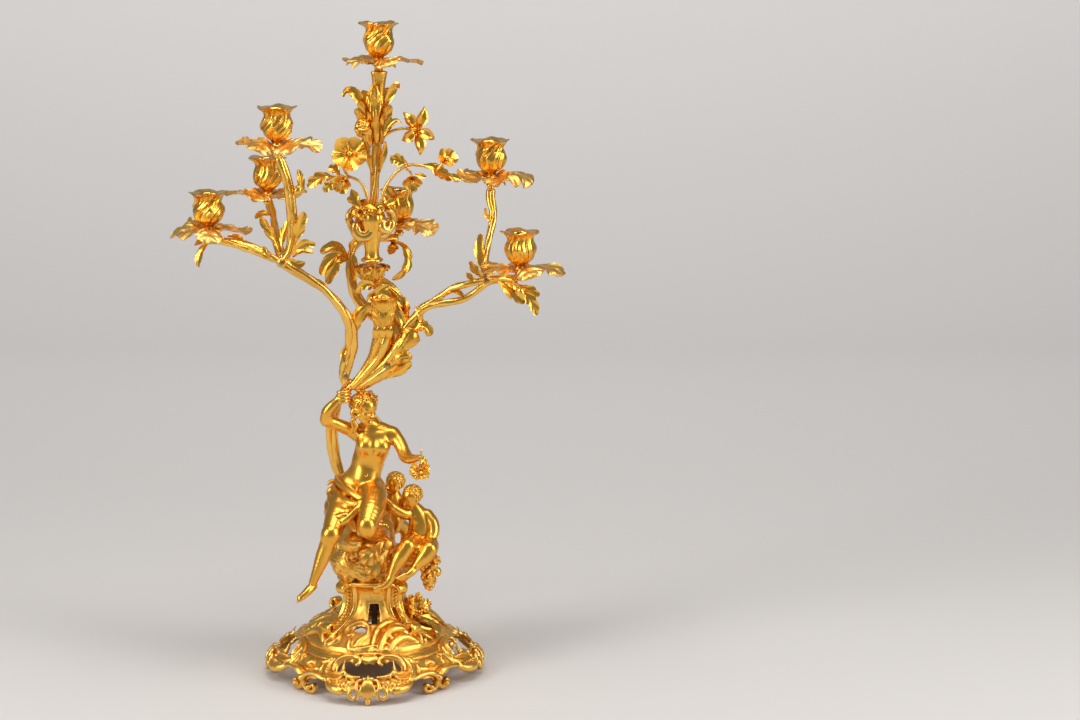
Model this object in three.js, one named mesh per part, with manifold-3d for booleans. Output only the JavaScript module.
// A seven-light figural candelabrum in gilt bronze, of the rococo style, for a table or mantelpiece.
// A pierced foot carries a waisted socle and a rock. A seated nymph on the rock holds up a trunk whose
// branches end in six lights, and two putti sit beside her. A vase of flowers stands on the trunk and
// carries the seventh light on a stem of its own.
// Millimetres, +Z up, front towards -Y. The origin is on the table, under the middle of the foot.
import * as THREE from "three";
import { mergeVertices } from "three/addons/utils/BufferGeometryUtils.js";
import Module from "manifold-3d";

const wasm = await Module();
wasm.setup();

// ---------------------------------------------------------------- driving sizes

const GAP = 0.3; // clearance between two castings fitted to each other

const FOOT = {
  lobeRadius: 150, // the foot's outline at its four lobes
  waistRadius: 128, // and between them
  ringRadius: 96, // outside of the round seat for the socle
  seatWidth: 15, // of that seat
  ringZ: 52, // height of that seat
  edgeZ: 25, // height of the apron's outer edge
  wall: 5,
  openingHalfWidth: 33, // of the pierced opening in each lobe
  openingHalfDepth: 12,
  scrollRadius: 10, // of the curl that each scroll foot stands on
  scrollThickness: 4.5,
  scrollSpread: 0.19, // angle of each scroll foot from its diagonal, in radians
  pegRadius: 5.5,
};

const SOCLE = {
  height: 86, // from the foot's seat to the rock
  neckRadius: 38,
  topRadius: 47,
  wall: 4.5,
  windowWidth: 17,
  windowHeight: 24,
  windowMiddle: 32, // above the foot's seat
};

const ROD = { radius: 4, clearance: 0.4, depthInRock: 40, tail: 16 };
const NUT = { radius: 8, height: 6.5 };
const WASHER = { radius: 11, thickness: 1.6 };
const BAR = { halfLength: 88, halfWidth: 9, thickness: 4 };

const ROCK = { height: 95, wall: 6, columnRadius: 9 };

const LIGHT = {
  panReach: 59, // from the light's axis to the tip of a long leaf
  panInner: 25, // to the notch between two leaves
  panThickness: 2,
  panHub: 9, // radius of the flat middle that the nozzle clamps
  hubThickness: 3,
  seatRadius: 6.5, // boss that the pan sits on
  seatHeight: 9,
  studRadius: 3,
  studLength: 22,
  studClearance: 0.4,
  nozzleHeight: 50,
  rimRadius: 26,
  bellyRadius: 19.5,
  candleRadius: 11.5, // bore for a 22 mm candle
  candleDepth: 30,
};

const VASE = {
  footRadius: 14,
  neckRadius: 8.5,
  bodyRadius: 18,
  mouthRadius: 14,
  height: 70,
  fill: 0.84, // the share of its height up to which it is solid
  plugRadius: 6,
  plugLength: 22,
};
const CALYX = { height: 26, wall: 3.5, flare: 5 };
const TRUNK_TOP = { x: 4, radius: 13, z: 430 };

const SCREW = { headRadius: 3.6, headHeight: 2.2, shankRadius: 1.7, slotWidth: 1, slotDepth: 0.8 };

const SOCLE_TOP = FOOT.ringZ + SOCLE.height; // the rock's underside, from which the upper group is measured
const VASE_SEAT = TRUNK_TOP.z + 10;
const VASE_FILL = VASE_SEAT + VASE.fill * VASE.height + GAP;

// ---------------------------------------------------------------- materials

const gilt = (roughness) => new THREE.MeshStandardMaterial({ color: 0xe0a63c, roughness, metalness: 1 });
const burnished = gilt(0.2);
const satin = gilt(0.34);
const matte = gilt(0.48);
const steel = new THREE.MeshStandardMaterial({ color: 0x55504a, roughness: 0.5, metalness: 0.9 });

// ---------------------------------------------------------------- shape helpers

const vec = (x, y, z) => new THREE.Vector3(x, y, z);
const TURN = 2 * Math.PI;

/** A closed three.js geometry as a solid that can be joined and cut. */
function solid(geometry) {
  const bare = geometry.index ? geometry.toNonIndexed() : geometry.clone();
  bare.deleteAttribute("normal");
  bare.deleteAttribute("uv");
  const merged = mergeVertices(bare, 1e-4);
  return new wasm.Manifold(
    new wasm.Mesh({
      numProp: 3,
      vertProperties: new Float32Array(merged.attributes.position.array),
      triVerts: new Uint32Array(merged.index.array),
    }),
  );
}

const join = (...solids) => solids.reduce((a, b) => a.add(b));
const cut = (body, ...tools) => tools.reduce((a, b) => a.subtract(b), body);

/** A named mesh of a solid. */
function piece(name, body, material) {
  const { numProp, numVert, vertProperties, triVerts } = body.getMesh();
  const positions = new Float32Array(numVert * 3);
  for (let i = 0; i < numVert; i++) {
    positions.set(vertProperties.subarray(i * numProp, i * numProp + 3), i * 3);
  }
  const geometry = new THREE.BufferGeometry();
  geometry.setAttribute("position", new THREE.BufferAttribute(positions, 3));
  geometry.setIndex(new THREE.BufferAttribute(new Uint32Array(triVerts), 1));
  geometry.computeVertexNormals();
  const mesh = new THREE.Mesh(geometry, material);
  mesh.name = name;
  return mesh;
}

function geometryOf(points, faces) {
  const geometry = new THREE.BufferGeometry();
  geometry.setAttribute("position", new THREE.Float32BufferAttribute(points, 3));
  geometry.setIndex(faces);
  return geometry;
}

/** A closed solid through rings of equally many points, each end closed by a fan to its middle. */
function loft(rings) {
  const count = rings[0].length;
  const middle = (ring) => ring.reduce((sum, p) => sum.add(p), vec(0, 0, 0)).divideScalar(count);
  const points = [...rings.flat(), middle(rings[0]), middle(rings.at(-1))];
  const low = rings.length * count;
  const faces = [];
  for (let i = 0; i < count; i++) {
    const j = (i + 1) % count;
    for (let k = 0; k + 1 < rings.length; k++) {
      const [a, b] = [k * count + i, k * count + j];
      faces.push(a, b, b + count, a, b + count, a + count);
    }
    faces.push(low, j, i);
    faces.push(low + 1, low - count + i, low - count + j);
  }
  return solid(geometryOf(points.flatMap((p) => [p.x, p.y, p.z]), faces));
}

/** A ring of points round a middle, wide along side and deep across it. */
function ringAt(middle, side, across, wide, deep, sides) {
  return Array.from({ length: sides }, (_, i) => {
    const angle = (TURN * i) / sides;
    const point = middle.clone().addScaledVector(side, wide * Math.cos(angle));
    return point.addScaledVector(across, deep * Math.sin(angle));
  });
}

/**
 * A tapering stem through knots [x, y, z, radius], with rounded ends. grow adds to every radius, for
 * a copy that cuts a seat in a neighbour, and flat presses the stem's section in.
 */
function stem(knots, { sides = 6, grow = 0, flat = 1 } = {}) {
  const last = knots.length - 1;
  const curve = new THREE.CatmullRomCurve3(knots.map(([x, y, z]) => vec(x, y, z)), false, "centripetal");
  const rings = [];
  let side = null;
  knots.forEach(([x, y, z, thick], i) => {
    const along = curve.getTangent(i / last).normalize();
    side ??= Math.abs(along.z) > 0.8 ? vec(1, 0, 0) : vec(0, 0, 1);
    side = side.clone().addScaledVector(along, -side.dot(along)).normalize();
    const across = along.clone().cross(side);
    const radius = thick + grow;
    const addRing = (shift, part) => {
      const middle = vec(x, y, z).addScaledVector(along, shift);
      rings.push(ringAt(middle, side, across, radius * part, radius * part * flat, sides));
    };
    if (i === 0) addRing(-0.5 * radius, 0.6);
    addRing(0, 1);
    if (i === last) addRing(0.5 * radius, 0.6);
  });
  return loft(rings);
}

/** An ellipsoid at a point. */
function lump([x, y, z], [rx, ry, rz], { grow = 0, sides = 8 } = {}) {
  const ball = new THREE.SphereGeometry(1, sides, 6);
  ball.rotateX(Math.PI / 2);
  ball.scale(rx + grow, ry + grow, rz + grow);
  return solid(ball.translate(x, y, z));
}

/** A solid of revolution about the Z axis through profile points [radius, z]. */
function turned(profile, sides) {
  const lathe = new THREE.LatheGeometry(profile.map(([r, z]) => new THREE.Vector2(r, z)), sides);
  return solid(lathe.rotateX(Math.PI / 2));
}

/** A plain cylinder from one height to another. */
const rodBetween = (radius, low, high, sides = 12) =>
  turned([[0, low], [radius, low], [radius, high], [0, high]], sides);

/** A box by its middle and its full sizes. */
const block = ([x, y, z], [sx, sy, sz]) => solid(new THREE.BoxGeometry(sx, sy, sz).translate(x, y, z));

/**
 * A closed shell round the Z axis with a hole in its middle. upper and lower give [radius, z] of an
 * angle and of a share, from 0 at the hole to 1 at the edge.
 */
function rosette(upper, lower, sides, upperShares, lowerShares) {
  const over = upperShares.map((share) => [upper, share]);
  const under = lowerShares.map((share) => [lower, share]);
  const outline = [...over, ...under.toReversed()];
  const count = outline.length;
  const points = [];
  const faces = [];
  for (let i = 0; i < sides; i++) {
    const angle = (TURN * i) / sides;
    const next = ((i + 1) % sides) * count;
    outline.forEach(([face, share], k) => {
      const [radius, z] = face(angle, share);
      points.push(radius * Math.cos(angle), radius * Math.sin(angle), z);
      const after = (k + 1) % count;
      faces.push(i * count + k, i * count + after, next + after);
      faces.push(i * count + k, next + after, next + k);
    });
  }
  return solid(geometryOf(points, faces));
}

const fourTimes = (body) => join(...[0, 90, 180, 270].map((turn) => body.rotate([0, 0, turn])));

// ---------------------------------------------------------------- foot, socle and what clamps them

/** The foot's outline, which swells at its four lobes: these face +X, +Y, -X and -Y. */
function footRadius(angle) {
  const middle = (FOOT.lobeRadius + FOOT.waistRadius) / 2;
  return middle + ((FOOT.lobeRadius - FOOT.waistRadius) / 2) * Math.cos(4 * angle);
}

/** The apron's upper face, from the flat seat out and down to its edge in an ogee. */
function apronTop(angle, share) {
  if (share === 0) return [FOOT.ringRadius - FOOT.seatWidth, FOOT.ringZ];
  const out = (share - 0.2) / 0.8;
  const radius = FOOT.ringRadius + (footRadius(angle) - FOOT.ringRadius) * out;
  const drop = 0.6 * out + 0.4 * out * out * (3 - 2 * out);
  return [radius, FOOT.ringZ - (FOOT.ringZ - FOOT.edgeZ) * drop];
}

/** Height of the apron's upper face at a radius from the foot's axis. */
function apronHeight(angle, radius) {
  const out = (radius - FOOT.ringRadius) / (footRadius(angle) - FOOT.ringRadius);
  return apronTop(angle, 0.2 + 0.8 * out)[1];
}

/** One scroll foot, curled in the upright plane along the foot's outline. turn is 1 or -1. */
function scrollFoot(turn) {
  const thick = FOOT.scrollThickness;
  const curl = FOOT.scrollRadius - thick;
  const angle = Math.PI / 4 + turn * FOOT.scrollSpread;
  const radial = vec(Math.cos(angle), Math.sin(angle), 0);
  const tangent = vec(-Math.sin(angle), Math.cos(angle), 0).multiplyScalar(turn);
  const reach = footRadius(angle) - 2 * thick;
  const start = radial.clone().multiplyScalar(reach);
  const arc = Array.from({ length: 7 }, (_, k) => {
    const bend = Math.PI * (1.05 + 0.23 * k);
    const shrink = curl * (1 - 0.06 * k);
    return [shrink * Math.cos(bend), curl + thick + shrink * Math.sin(bend), thick * (1 - 0.04 * k)];
  });
  const knots = [[-curl, apronHeight(angle, reach) - FOOT.wall, thick], ...arc];
  const place = ([s, z, radius]) => [...start.clone().addScaledVector(tangent, s).setZ(z), radius];
  return stem(knots.map(place), { sides: 5 });
}

/** The cartouche under a lobe's opening, with the turned peg that it stands on. */
function lobePeg() {
  const r = FOOT.pegRadius;
  const profile = [
    [0, 0], [r, 0], [0.9 * r, 3], [0.6 * r, 7], [2.6 * r, 16], [2.4 * r, 26], [0, 29],
  ];
  return turned(profile, 7).translate([FOOT.lobeRadius - 1.8 * r, 0, 0]);
}

function footCasting() {
  const apronUnder = (angle, share) => {
    const [radius, z] = apronTop(angle, share);
    return [radius, z - FOOT.wall];
  };
  const apron = rosette(apronTop, apronUnder, 32, [0, 0.2, 0.6, 1], [0, 0.2, 1]);
  const outline = new THREE.Shape();
  outline.absellipse(0, 0, FOOT.openingHalfDepth, FOOT.openingHalfWidth, 0, TURN);
  const through = { depth: FOOT.ringZ, bevelEnabled: false, curveSegments: 4 };
  const middle = (FOOT.ringRadius + FOOT.lobeRadius) / 2;
  const opening = solid(new THREE.ExtrudeGeometry(outline, through)).translate([middle, 0, 0]);
  const feet = join(scrollFoot(1), scrollFoot(-1), lobePeg());
  const belowTable = block([0, 0, -20], [400, 400, 40]);
  return cut(join(cut(apron, fourTimes(opening)), fourTimes(feet)), belowTable);
}

/** One C-scroll that buttresses the socle's neck on a diagonal. */
function buttress() {
  const { neckRadius: neck, height: h } = SOCLE;
  const profile = [
    [neck + 13, 0.83 * h, 3], [neck + 17, 0.76 * h, 3.6], [neck + 11, 0.72 * h, 4], [neck + 3, 0.7 * h, 5],
    [neck + 3, 0.52 * h, 6], [neck + 9, 0.38 * h, 6], [neck + 22, 0.27 * h, 5], [neck + 34, 0.24 * h, 4],
  ];
  const knots = profile.map(([r, z, thick]) => [r * Math.SQRT1_2, r * Math.SQRT1_2, FOOT.ringZ + z, thick]);
  return stem(knots, { sides: 5 });
}

function socleCasting() {
  const { height: h, neckRadius: neck, topRadius: top, wall } = SOCLE;
  const base = FOOT.ringZ;
  const dome = 0.72 * FOOT.ringRadius;
  const skin = [
    [FOOT.ringRadius, 0], [FOOT.ringRadius, 0.05 * h], [0.91 * FOOT.ringRadius, 0.13 * h], [dome, 0.25 * h],
    [neck + 14, 0.39 * h], [neck + 3, 0.55 * h], [neck, 0.72 * h], [neck + 2, 0.88 * h], [top, h],
  ];
  const hollow = [
    [neck - wall, h - wall], [neck - wall, 0.7 * h], [neck + 3 - wall, 0.54 * h],
    [neck + 14 - wall, 0.37 * h], [dome - wall, 0.22 * h], [FOOT.ringRadius - 2 * wall, 0.07 * h],
    [FOOT.ringRadius - 2 * wall, 0],
  ];
  const bore = ROD.radius + ROD.clearance;
  const raise = (points) => points.map(([r, z]) => [r, base + z]);
  const shell = turned(raise([...skin, [bore, h], [bore, h - wall], ...hollow, skin[0]]), 18);
  const inside = turned(raise([[0, 0], ...hollow.toReversed(), [0, h - wall]]), 18);
  const middle = [neck, 0, base + SOCLE.windowMiddle];
  const window = block(middle, [neck + 14, SOCLE.windowWidth, SOCLE.windowHeight]);
  return join(cut(shell, fourTimes(window)), cut(fourTimes(buttress()), inside));
}

const BAR_TOP = FOOT.ringZ - FOOT.wall;
const NUT_TOP = BAR_TOP - BAR.thickness - WASHER.thickness;

/** The flat bar inside the foot that the tie rod pulls against. */
function bridgeBar() {
  const middle = [0, 0, BAR_TOP - BAR.thickness / 2];
  const bar = block(middle, [2 * BAR.halfLength, 2 * BAR.halfWidth, BAR.thickness]);
  return cut(bar, rodBetween(ROD.radius + ROD.clearance, 0, BAR_TOP + 1));
}

/** A nut or a washer on the tie rod. */
const ringOnRod = (outer, low, high, sides) =>
  cut(rodBetween(outer, low, high, sides), rodBetween(ROD.radius + GAP, low - 1, high + 1));

// ---------------------------------------------------------------- rock

/** The rock's sections: height, middle [x, y] and radius. It is undercut all round its base. */
const ROCK_SECTIONS = [
  { z: 0, middle: [0, 0], radius: 39 },
  { z: 9, middle: [-7, -2], radius: 45 },
  { z: 26, middle: [-12, 0], radius: 46 },
  { z: 50, middle: [-10, 4], radius: 43 },
  { z: 70, middle: [-8, 8], radius: 37 },
  { z: 84, middle: [-6, 10], radius: 28 },
  { z: 94, middle: [-5, 11], radius: 13 },
];

const rockRing = ({ z, middle: [x, y], radius }, inset, sides) =>
  Array.from({ length: sides }, (_, i) => {
    const angle = (TURN * i) / sides;
    const lumps = 1 + 0.06 * Math.sin(3 * angle + z / 18) + 0.04 * Math.sin(5 * angle - z / 13);
    const r = radius * lumps - inset;
    return vec(x + r * Math.cos(angle), y + r * Math.sin(angle), z);
  });

/** The rock with its side ledge, on which the front putto sits. */
function rockShape(grow = 0) {
  const rings = ROCK_SECTIONS.map((section) => rockRing(section, -grow, 14));
  rings[0].forEach((p) => (p.z -= grow));
  rings.at(-1).forEach((p) => (p.z += grow));
  const ledge = lump([50, -2, 22], [26, 22, 15], { grow });
  const below = block([0, 0, -30 - grow], [300, 300, 60]);
  return cut(join(loft(rings), ledge), below);
}

function rockMound() {
  const [base, ...sections] = ROCK_SECTIONS.slice(0, 5);
  const cavity = loft([{ ...base, z: -1 }, ...sections].map((section) => rockRing(section, ROCK.wall, 10)));
  const column = rodBetween(ROCK.columnRadius, 0, 0.8 * ROCK.height);
  const bore = rodBetween(ROD.radius + GAP, -1, ROD.depthInRock + 2);
  return cut(join(cut(rockShape(), cavity), column), bore);
}

// ---------------------------------------------------------------- figures

/** Limbs and trunk of a figure, one stem for each list of knots. */
const limbs = (lists, grow, sides = 7) => lists.map((knots) => stem(knots, { sides, grow }));

/** The nymph's head, trunk and legs, with the cloth over her hip. */
function nymphBody(grow = 0) {
  const torso = [
    [-17, 6, 108, 27], [-14, 7, 130, 26], [-5, 8, 158, 19], [2, 6, 184, 23], [6, 4, 203, 17],
  ];
  return join(
    stem(torso, { sides: 9, grow, flat: 0.8 }),
    lump([-2, -2, 239], [14, 15.5, 18], { grow }),
    lump([-9, 8, 246], [13, 12, 12], { grow }),
    ...limbs(
      [
        [[4, 3, 203, 10], [1, 0, 228, 8]],
        [[-6, -4, 118, 19], [-2, -40, 107, 16.5], [-2, -75, 85, 13]],
        [[-2, -73, 83, 11], [10, -50, 72, 9], [14, -34, 66, 7]],
        [[-28, 0, 116, 20], [-42, -36, 98, 17.5], [-51, -70, 73, 12.5]],
        [[-51, -71, 72, 11], [-62, -76, 42, 10], [-76, -80, 9, 5.5]],
        [[-76, -80, 8, 6], [-86, -90, -1, 6], [-97, -96, -9, 4.5]],
        [[-46, 6, 128, 9], [-40, -22, 119, 14], [-22, -34, 113, 10]],
      ],
      grow,
    ),
  );
}

function nymphRaisedArm() {
  return join(
    lump([-37, -9, 257], [8.5, 7.5, 8.5]),
    ...limbs(
      [
        [[-12, 4, 203, 10], [-38, -3, 213, 8.5], [-60, -12, 226, 8]],
        [[-60, -12, 227, 8], [-50, -14, 242, 7], [-42, -13, 253, 5.5]],
      ],
      0,
    ),
  );
}

function nymphExtendedArm(grow = 0) {
  return join(
    ...limbs(
      [
        [[28, 1, 202, 10], [38, -6, 190, 9], [46, -17, 173, 7.5]],
        [[46, -17, 173, 7.5], [55, -31, 171, 6.5], [63, -42, 173, 4.5]],
        [[63, -42, 173, 5], [70, -48, 176, 5.5], [75, -52, 172, 4]],
      ],
      grow,
    ),
  );
}

function puttoFront(grow = 0) {
  return join(
    lump([54, -4, 109], [13, 13.5, 13.5], { grow }),
    ...limbs(
      [
        [[64, -6, 46, 15], [66, -4, 62, 16], [63, -4, 82, 15], [58, -3, 92, 11], [55, -4, 102, 7]],
        [[50, -6, 90, 7.5], [40, -14, 84, 6.5], [31, -16, 92, 5]],
        [[74, -4, 88, 8], [84, -12, 68, 7], [72, -26, 56, 5]],
        [[58, -12, 46, 10.5], [44, -38, 38, 9.5], [32, -50, 20, 7], [18, -58, 3, 4.5]],
        [[70, -12, 46, 10.5], [79, -36, 44, 9.5], [62, -50, 30, 7], [42, -60, 20, 4.5]],
      ],
      grow,
      6,
    ),
  );
}

function puttoBehind(grow = 0) {
  return join(
    lump([27, 46, 114], [13, 13.5, 13], { grow }),
    ...limbs(
      [
        [[24, 38, 60, 14], [26, 42, 78, 15], [27, 45, 94, 13], [27, 46, 106, 7]],
        [[37, 43, 94, 7], [46, 30, 92, 6], [46, 18, 98, 4.5]],
        [[18, 50, 92, 7], [6, 56, 84, 6], [-4, 50, 92, 4.5]],
        [[29, 46, 60, 10], [42, 60, 44, 8.5], [41, 58, 24, 6.5], [44, 66, 8, 4.5]],
        [[18, 48, 60, 10], [14, 66, 48, 8.5], [14, 60, 28, 6.5], [12, 68, 12, 4.5]],
      ],
      grow,
      6,
    ),
  );
}

/** The bunch of fruit that hangs from the rock's ledge under the front putto. */
const fruitCluster = () =>
  join(
    stem([[72, -8, 26, 4], [76, -9, 14, 9], [77, -9, 2, 11], [76, -9, -12, 6]]),
    lump([86, -8, 6], [9, 8, 9], { sides: 6 }),
  );

/** The posy that hangs from the nymph's hand. */
const handPosy = () =>
  join(
    stem([[70, -51, 169, 2.5], [69, -53, 160, 4]]),
    lump([68, -54, 158], [10, 7, 9], { sides: 6 }),
  );

// ---------------------------------------------------------------- trunk and branches

const TRUNK = [
  [-26, 30, 82, 8], [-43, 34, 120, 7.5], [-55, 36, 161, 7], [-57, 30, 198, 6.5], [-49, 15, 232, 6.5],
  [-34, 3, 260, 7.5], [-8, -1, 290, 10], [20, -5, 316, 15], [40, -5, 346, 17], [39, -3, 376, 15],
  [24, -1, 402, 12], [TRUNK_TOP.x, 0, TRUNK_TOP.z - 12, 10],
];
const LEFT_BRANCH = [
  [-38, -8, 272, 6], [-35, -6, 290, 7], [-25, -12, 326, 7.5], [-27, -28, 364, 7], [-57, -42, 408, 7],
  [-112, -49, 446, 7],
];
const KNUCKLE = [9.5, 9.5, 9.5]; // radii of the lump where the left branch divides

const topOfTrunk = (radius, low, high) =>
  rodBetween(radius, TRUNK_TOP.z + low, TRUNK_TOP.z + high).translate([TRUNK_TOP.x, 0, 0]);
const trunkStem = (grow = 0) =>
  join(stem(TRUNK, { sides: 8, grow }), topOfTrunk(TRUNK_TOP.radius + grow, -22 - grow, grow));
const leftStem = (grow = 0) => join(stem(LEFT_BRANCH, { grow }), lump(LEFT_BRANCH.at(-1), KNUCKLE, { grow }));

/** A leaf along its knots: wide, thin and sharp-edged. */
const leaf = (knots) => stem(knots, { sides: 4, flat: 0.25 });

const TRUNK_LEAVES = [
  [[14, -16, 330, 6], [16, -20, 352, 14], [14, -24, 380, 13], [10, -30, 394, 6]],
  [[44, -10, 336, 6], [60, -14, 338, 10], [78, -14, 348, 6]],
];
const LEFT_BRANCH_LEAVES = [[[-23, -16, 338, 4], [-10, -20, 352, 8], [0, -22, 364, 3]]];

/**
 * The seven lights: the middle of the seat that the drip pan sits on, the turn of the pan's leaves,
 * and the branch that carries the light, as its name, the knots of its stem and of its leaves.
 */
const LIGHTS = {
  far_left: {
    at: [-212, -20, 483],
    turn: 0,
    branch: "far_left_arm",
    knots: [[-112, -49, 446, 6.5], [-146, -40, 461, 6.5], [-176, -30, 469, 6], [-212, -20, 473, 6]],
    leaves: [[[-210, -24, 472, 4], [-220, -30, 460, 6], [-222, -34, 448, 3]]],
  },
  left_upper: {
    at: [-114, -60, 601],
    turn: 14,
    branch: "left_upper_arm",
    knots: [
      [-110, -50, 450, 6.5], [-101, -50, 466, 6.5], [-97, -52, 492, 6.5], [-98, -56, 528, 6],
      [-103, -59, 562, 6], [-113, -60, 592, 6.5],
    ],
    leaves: [
      [[-96, -54, 476, 4], [-88, -56, 496, 7], [-84, -58, 512, 3]],
      [[-96, -52, 462, 4], [-82, -50, 466, 7], [-66, -48, 468, 3]],
    ],
  },
  left_back: {
    at: [-141, 60, 520],
    turn: 29,
    branch: "left_back_arm",
    knots: [
      [-112, -46, 450, 6], [-120, -22, 466, 6], [-128, 16, 484, 5.5], [-134, 44, 500, 5.5],
      [-140, 58, 512, 6],
    ],
    leaves: [[[-118, -26, 472, 4], [-126, -14, 496, 8], [-132, -8, 508, 3]]],
  },
  back: {
    at: [35, 100, 471],
    turn: 52,
    branch: "back_branch",
    knots: [
      [36, 6, 344, 8], [16, 12, 356, 8], [-6, 18, 370, 7.5], [-20, 21, 388, 7], [-26, 22, 410, 6.5],
      [-28, 25, 436, 6], [-22, 36, 454, 6], [-4, 62, 460, 5.5], [20, 88, 457, 5.5], [34, 99, 457, 6],
    ],
    leaves: [
      [[-27, 24, 444, 4], [-46, 14, 450, 8], [-66, 6, 436, 4]],
      [[18, 80, 456, 4], [42, 46, 448, 8], [44, 34, 422, 5]],
    ],
  },
  right_lower: {
    at: [204, -50, 435],
    turn: 6,
    branch: "right_branch",
    knots: [
      [46, -6, 344, 9], [58, -6, 358, 7.5], [72, -8, 374, 6.5], [100, -12, 390, 7], [130, -17, 402, 7],
      [160, -22, 417, 7], [184, -38, 423, 6], [204, -50, 424, 6],
    ],
    leaves: [
      [[182, -40, 420, 4], [202, -46, 408, 7], [216, -50, 394, 8], [222, -52, 382, 4]],
      [[152, -18, 418, 4], [144, -12, 430, 7], [140, -8, 438, 3]],
    ],
  },
  right_upper: {
    at: [164, 41, 546],
    turn: 9,
    branch: "right_upper_arm",
    knots: [
      [158, -14, 424, 6.5], [157, 0, 440, 6], [162, 14, 470, 5.5], [167, 26, 500, 5.5], [163, 36, 522, 5.5],
      [164, 40, 537, 6],
    ],
    leaves: [[[156, 2, 446, 4], [147, -2, 464, 6], [146, -4, 478, 3]]],
  },
  top: {
    at: [17, 0, 706],
    turn: 3,
    branch: "vase_stem",
    knots: [
      [TRUNK_TOP.x, 0, 496, 6], [5, 0, 530, 6], [6, 0, 570, 6.5], [10, 0, 600, 9], [12, 0, 634, 11],
      [14, 0, 666, 8.5], [17, 0, 697, 8],
    ],
    leaves: [
      [[8, -6, 642, 5], [-2, -8, 658, 8], [-17, -10, 674, 3]],
      [[16, -6, 650, 5], [27, -8, 664, 8], [42, -10, 677, 3]],
      [[16, -6, 610, 5], [26, -8, 624, 7], [38, -10, 637, 3]],
    ],
  },
};

const lightStem = (name, grow = 0) => stem(LIGHTS[name].knots, { grow });

/** A branch that ends in a light: its stem, its leaves and the seat boss, bored for the stud. */
function lightBranch({ at: [x, y, z], knots, leaves }) {
  const { seatRadius: r, seatHeight: tall, studRadius, studLength } = LIGHT;
  const [endX, endY, endZ] = knots.at(-1);
  const neck = stem([[endX, endY, endZ - 1, 0.8 * r], [x, y, z - tall + 1, 0.8 * r]]);
  const boss = turned([[0, -tall], [0.8 * r, -tall], [r, -3], [r, 0], [0, 0]], 12).translate([x, y, z]);
  const aboveSeat = block([x, y, z + 20], [60, 60, 40]);
  const bore = rodBetween(studRadius + GAP, z + GAP - studLength / 2, z + 1).translate([x, y, 0]);
  return cut(join(stem(knots), neck, boss, ...leaves.map(leaf)), aboveSeat, bore);
}

// ---------------------------------------------------------------- what each light is made of

/** Edge of a drip pan's five leaves, which differ in length, with a notch between each two. */
function panEdge(angle) {
  const blade = Math.abs(Math.cos(2.5 * angle)) ** 0.7;
  const length = 0.88 + 0.12 * Math.cos(2 * angle);
  return LIGHT.panInner + (LIGHT.panReach - LIGHT.panInner) * blade * length;
}

/** A drip pan, with its underside at z = 0 where it sits on its branch. */
function dripPan() {
  const { studRadius, studClearance, panHub: hub, hubThickness } = LIGHT;
  const hubShare = 0.25;
  const topFace = (angle, share) => {
    if (share < hubShare) return [studRadius + studClearance, hubThickness];
    const out = (share - hubShare) / (1 - hubShare);
    const radius = hub + (panEdge(angle) - hub) * out;
    const wave = 3 * Math.sin(5 * angle + 1) * out;
    return [radius, hubThickness + 5 * Math.sin(Math.PI * 0.9 * out) + wave];
  };
  const underFace = (angle, share) => {
    const [radius, z] = topFace(angle, share);
    return [radius, share > hubShare ? z - LIGHT.panThickness : 0];
  };
  return rosette(topFace, underFace, 20, [0, hubShare, 0.6, 1], [0, hubShare, 0.6, 1]);
}

/** A nozzle, with its underside at z = 0 where it clamps the pan. */
function nozzle() {
  const { nozzleHeight: h, rimRadius: rim, bellyRadius: belly, candleRadius: candle } = LIGHT;
  const bore = LIGHT.studRadius + LIGHT.studClearance;
  const studTop = LIGHT.studLength / 2 - LIGHT.hubThickness + 1;
  const profile = [
    [0, studTop], [bore, studTop], [bore, 0], [LIGHT.panHub - 2, 0], [0.72 * belly, 0.2 * h],
    [belly, 0.45 * h], [0.88 * belly, 0.74 * h], [rim, h - 2], [rim, h], [candle, h - 3],
    [candle, h - LIGHT.candleDepth], [0, h - LIGHT.candleDepth],
  ];
  return turned(profile, 12);
}

const stud = () => rodBetween(LIGHT.studRadius, 2 * GAP - LIGHT.studLength / 2, LIGHT.studLength / 2, 8);

/** The pan, the nozzle and the stud of a light, placed together on its seat. */
function lightGroup(name) {
  const group = new THREE.Group();
  group.position.set(...LIGHTS[name].at);
  const pan = piece(`drip_pan_${name}`, dripPan(), satin);
  pan.rotation.z = THREE.MathUtils.degToRad(LIGHTS[name].turn);
  const cup = piece(`nozzle_${name}`, nozzle(), satin);
  cup.position.z = LIGHT.hubThickness;
  group.add(pan, cup, piece(`stud_${name}`, stud(), steel));
  return group;
}

// ---------------------------------------------------------------- vase of flowers

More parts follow.
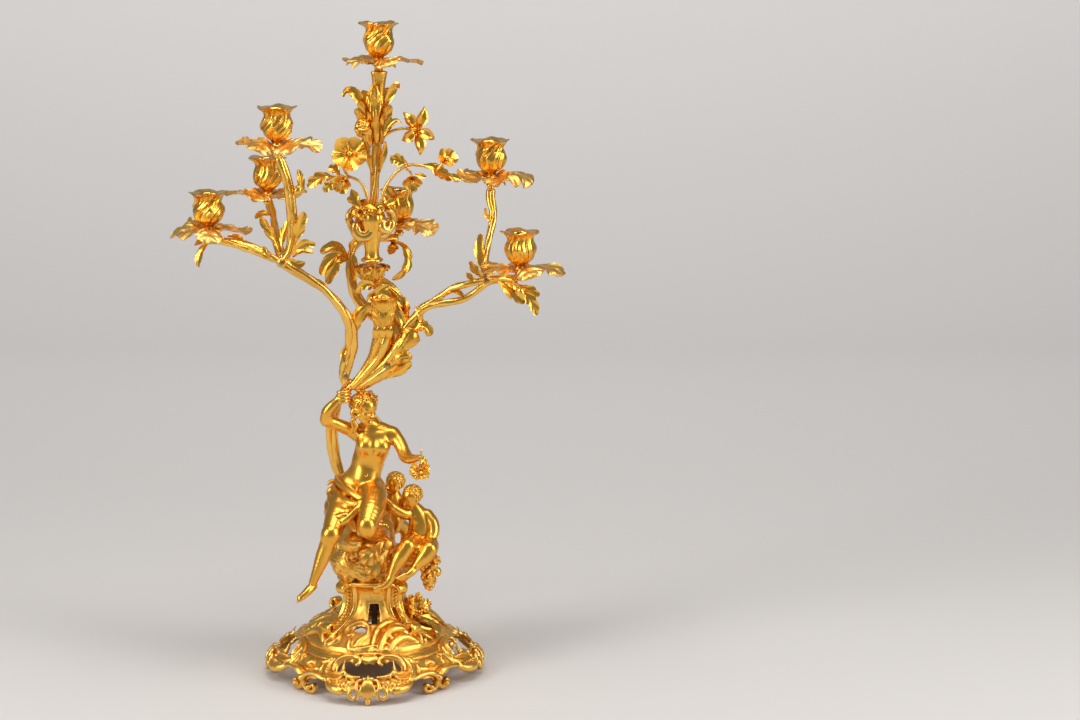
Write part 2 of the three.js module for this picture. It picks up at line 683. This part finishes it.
function vase() {
  const { footRadius: foot, neckRadius: neck, bodyRadius: body, mouthRadius: mouth, height: h } = VASE;
  const profile = [
    [0, -VASE.plugLength], [VASE.plugRadius, -VASE.plugLength], [VASE.plugRadius, -2], [foot, -2], [foot, 3],
    [neck + 1, 6], [neck, 0.24 * h], [neck + 2, 0.4 * h], [body, 0.62 * h], [body, 0.76 * h],
    [mouth + 2, 0.9 * h], [mouth + 4, h], [mouth, h], [mouth - 2, VASE.fill * h], [0, VASE.fill * h],
  ];
  const volute = [
    [body - 4, 0, 0.9 * h, 3], [body + 4, 0, 0.93 * h, 3], [body + 7, 0, 0.8 * h, 3],
    [body + 2, 0, 0.72 * h, 3],
  ];
  const crown = [[mouth + 2, 0, 0.94 * h, 4], [mouth + 8, 0, 1.16 * h, 6], [mouth + 18, 0, 1.3 * h, 3]];
  const crownLeaves = [-25, 60].map((turn) => leaf(crown).rotate([0, 0, turn]));
  const half = join(stem(volute, { sides: 5 }), ...crownLeaves);
  return join(turned(profile, 14), half, half.rotate([0, 0, 180])).translate([TRUNK_TOP.x, 0, VASE_SEAT]);
}

/** A collar of leaves round the trunk's top. */
function trunkCalyx() {
  const inner = TRUNK_TOP.radius + GAP;
  const { height, wall, flare } = CALYX;
  const profile = [
    [inner, 0], [inner + wall, 0], [inner + wall + flare, height], [inner + flare, height],
    [inner, 0.7 * height], [inner, 0],
  ];
  return turned(profile, 12).translate([TRUNK_TOP.x, 0, TRUNK_TOP.z - 18]);
}

/** A flower head of pointed petals, which lie across the way it faces. */
function blossom([x, y, z], facing, radius, petals = 5) {
  const outline = new THREE.Shape();
  for (let i = 0; i < 2 * petals; i++) {
    const angle = (Math.PI * i) / petals;
    const reach = i % 2 ? 0.45 * radius : radius;
    const [px, py] = [reach * Math.cos(angle), reach * Math.sin(angle)];
    if (i) outline.lineTo(px, py);
    else outline.moveTo(px, py);
  }
  outline.closePath();
  const depth = 0.3 * radius;
  const head = new THREE.ExtrudeGeometry(outline, { depth, bevelEnabled: false });
  head.translate(0, 0, -depth / 2);
  head.applyQuaternion(new THREE.Quaternion().setFromUnitVectors(vec(0, 0, 1), vec(...facing).normalize()));
  return solid(head.translate(x, y, z));
}

const stalk = (knots) => stem(knots, { sides: 5 });

const SPRAYS = {
  left_spray: () =>
    join(
      stalk([
        [-3, -6, VASE_FILL + 2, 2.4], [-6, -8, 532, 2.2], [-17, -10, 550, 2], [-33, -12, 562, 2],
        [-29, -14, 584, 2.4],
      ]),
      blossom([-29, -15, 584], [0.1, -0.9, 0.35], 23, 7),
      stalk([[-17, -10, 550, 1.8], [-30, -10, 553, 1.8], [-44, -8, 548, 1.8], [-72, -8, 545, 1.2]]),
      blossom([-42, -11, 546], [-0.3, -0.9, -0.1], 13),
      leaf([[-50, -8, 547, 5], [-66, -8, 546, 9], [-82, -7, 541, 3]]),
    ),
  right_spray: () =>
    join(
      stalk([
        [11, -5, VASE_FILL + 2, 2.4], [18, -7, 530, 2.2], [32, -10, 552, 2], [52, -14, 568, 2],
        [76, -18, 568, 2], [104, -22, 558, 1.6], [116, -22, 555, 1.2],
      ]),
      stalk([[86, -20, 566, 1.6], [98, -22, 575, 2]]),
      blossom([98, -23, 575], [0.2, -0.9, 0.3], 15),
      leaf([[66, -17, 568, 3], [86, -20, 564, 8], [104, -22, 556, 3]]),
      stalk([[44, -12, 562, 1.6], [54, -14, 554, 1.6], [59, -16, 549, 2]]),
      blossom([60, -17, 546], [0.2, -0.9, -0.2], 13),
      leaf([[46, -13, 564, 2.5], [40, -12, 572, 7], [32, -12, 577, 3]]),
    ),
  lily_spray: () =>
    join(
      stalk([[14, -2, 598, 2.4], [26, -4, 608, 2], [42, -6, 616, 2], [64, -10, 614, 3]]),
      blossom([66, -11, 613], [0.5, -0.85, -0.05], 22, 5),
    ),
};

/** The stem that rises from the vase to the top light, sheathed in leaves. */
function vaseStem() {
  const foot = rodBetween(VASE.plugRadius, VASE_FILL, VASE_FILL + 12).translate([TRUNK_TOP.x, 0, 0]);
  const insideVase = block([0, 0, VASE_FILL - 40], [120, 120, 80]);
  return join(cut(lightBranch(LIGHTS.top), insideVase), foot);
}

const vaseStemSeat = () =>
  join(
    lightStem("top", GAP),
    rodBetween(VASE.plugRadius + GAP, VASE_FILL - 1, VASE_FILL + 12).translate([TRUNK_TOP.x, 0, 0]),
  );

// ---------------------------------------------------------------- screws

const SCREWS = [
  { name: "trunk_screw", at: [22, -20.5, 300], length: 9 },
  { name: "left_branch_screw", at: [-33, -15.4, 283], length: 12 },
  { name: "left_junction_screw", at: [-112, -60.5, 447], length: 10 },
  { name: "right_junction_screw", at: [158, -31.5, 418], length: 12 },
];

/** A slotted screw's profile along +Z from its head; grown, it is the hole that it sits in. */
const screwProfile = (length, grow = 0) => {
  const { headRadius: head, headHeight: tall, shankRadius: shank } = SCREW;
  return [
    [0, -grow], [head + grow, -grow], [head + grow, tall + grow], [shank + grow, tall + grow],
    [shank + grow, length + grow], [0, length + grow],
  ];
};

function screw({ name, at, length }) {
  const { headRadius, slotWidth, slotDepth } = SCREW;
  const slot = block([0, 0, 0], [3 * headRadius, slotWidth, 2 * slotDepth]);
  const mesh = piece(name, cut(turned(screwProfile(length), 10), slot), steel);
  mesh.position.set(...at);
  mesh.rotation.x = -Math.PI / 2; // its head faces the front
  return mesh;
}

function screwHole({ at, length }) {
  const access = rodBetween(SCREW.headRadius + GAP, -12, 0.1, 10);
  return join(turned(screwProfile(length, GAP), 10), access).rotate([-90, 0, 0]).translate(at);
}

// ---------------------------------------------------------------- assembly

const holes = SCREWS.map(screwHole);
const rock = rockShape(GAP);
const body = nymphBody(GAP);
const trunkSeat = join(trunkStem(GAP), ...TRUNK_LEAVES.map(leaf));
const leftSeat = leftStem(GAP);

/** What each branch is fitted against, so that it stops short of it. */
const NEIGHBOURS = {
  far_left: [leftSeat],
  left_upper: [leftSeat, lightStem("far_left", GAP)],
  left_back: [leftSeat, lightStem("far_left", GAP), lightStem("left_upper", GAP)],
  back: [trunkSeat],
  right_lower: [trunkSeat],
  right_upper: [lightStem("right_lower", GAP)],
};

function mainTrunk() {
  const socket = topOfTrunk(VASE.plugRadius + GAP, VASE_SEAT - TRUNK_TOP.z - VASE.plugLength - 1, 1);
  return cut(join(trunkStem(), ...TRUNK_LEAVES.map(leaf)), rock, body, puttoBehind(GAP), socket, ...holes);
}

const leftBranch = () => cut(join(leftStem(), ...LEFT_BRANCH_LEAVES.map(leaf)), trunkSeat, ...holes);

const upper = new THREE.Group(); // all that stands on the socle
upper.position.z = SOCLE_TOP;
upper.add(
  piece("rock_mound", rockMound(), matte),
  piece("nymph_body", cut(nymphBody(), rock), burnished),
  piece("nymph_raised_arm", cut(nymphRaisedArm(), body, trunkSeat, leftSeat), burnished),
  piece("nymph_extended_arm", cut(nymphExtendedArm(), body), burnished),
  piece("hand_posy", cut(handPosy(), nymphExtendedArm(GAP)), satin),
  piece("putto_front", cut(puttoFront(), rock, body), burnished),
  piece("putto_behind", cut(puttoBehind(), rock, body, puttoFront(GAP)), burnished),
  piece("fruit_cluster", cut(fruitCluster(), rock, puttoFront(GAP)), matte),
  piece("main_trunk", mainTrunk(), satin),
  piece("trunk_calyx", cut(trunkCalyx(), stem(TRUNK, { sides: 8, grow: GAP })), satin),
  piece("left_branch", leftBranch(), satin),
);
for (const [name, neighbours] of Object.entries(NEIGHBOURS)) {
  const light = LIGHTS[name];
  upper.add(piece(light.branch, cut(lightBranch(light), ...neighbours, ...holes), satin));
}
for (const name of Object.keys(LIGHTS)) upper.add(lightGroup(name));
upper.add(piece("vase", vase(), satin), piece(LIGHTS.top.branch, vaseStem(), satin));
const placed = [vaseStemSeat()];
for (const [name, make] of Object.entries(SPRAYS)) {
  const spray = cut(make(), ...placed);
  upper.add(piece(name, spray, satin));
  placed.push(spray);
}
for (const one of SCREWS) upper.add(screw(one));

const candelabrum = new THREE.Group();
candelabrum.add(
  upper,
  piece("foot_casting", footCasting(), satin),
  piece("socle_casting", socleCasting(), satin),
  piece("bridge_bar", bridgeBar(), steel),
  piece("tie_washer", ringOnRod(WASHER.radius, NUT_TOP, NUT_TOP + WASHER.thickness, 16), steel),
  piece("tie_nut", ringOnRod(NUT.radius, NUT_TOP - NUT.height, NUT_TOP, 6), steel),
  piece("tie_rod", rodBetween(ROD.radius, NUT_TOP - ROD.tail, SOCLE_TOP + ROD.depthInRock), steel),
);

export default candelabrum;
